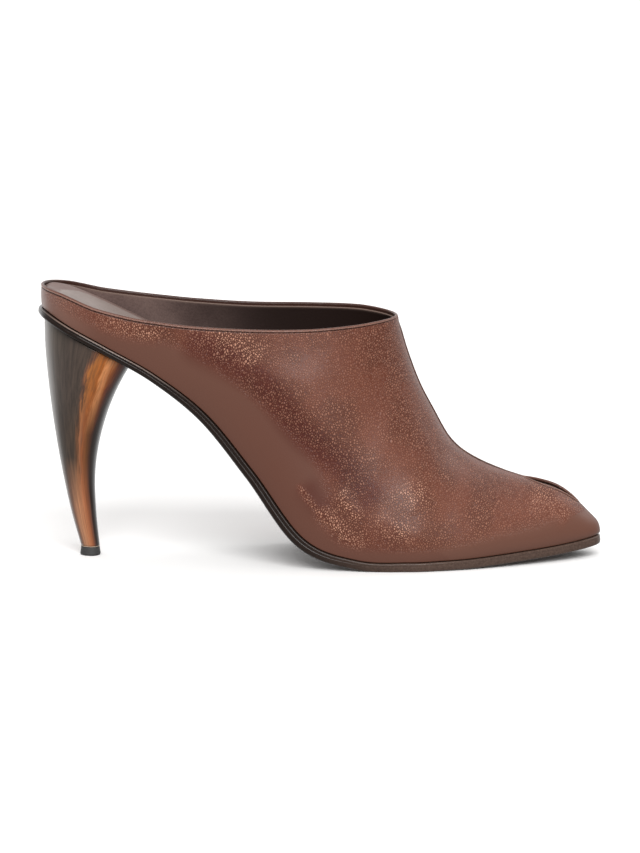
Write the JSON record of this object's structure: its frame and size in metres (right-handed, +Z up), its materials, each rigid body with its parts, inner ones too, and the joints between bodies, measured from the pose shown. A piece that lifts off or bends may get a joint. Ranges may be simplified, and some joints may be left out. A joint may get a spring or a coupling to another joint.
{
  "type": "mule shoe",
  "caption": "High-heeled mule with a high closed leather vamp, a low rim round the heel seat, a small toe slit, a curved horn-shaped heel and a thin curved sole.",
  "frame": {"origin": "on the floor, under the middle of the forefoot's flat tread", "axes": "+X towards the toe, +Y towards the inner (medial) side of the foot, +Z up"},
  "size_m": [0.2293, 0.0763, 0.112],
  "materials": {
    "upper_leather": "glazed, finely crinkled brown calf leather",
    "sock_leather": "smooth taupe lining leather",
    "sole_leather": "leather sole with a dark waxed edge",
    "horn": "lacquered imitation horn, dark with amber streaks",
    "heel_rubber": "matt dark grey rubber"
  },
  "bodies": {
    "root": {"upper": "upper_leather", "insole": "sock_leather", "outsole": "sole_leather", "heel": "horn", "top_piece": "heel_rubber"}
  },
  "joints": []
}
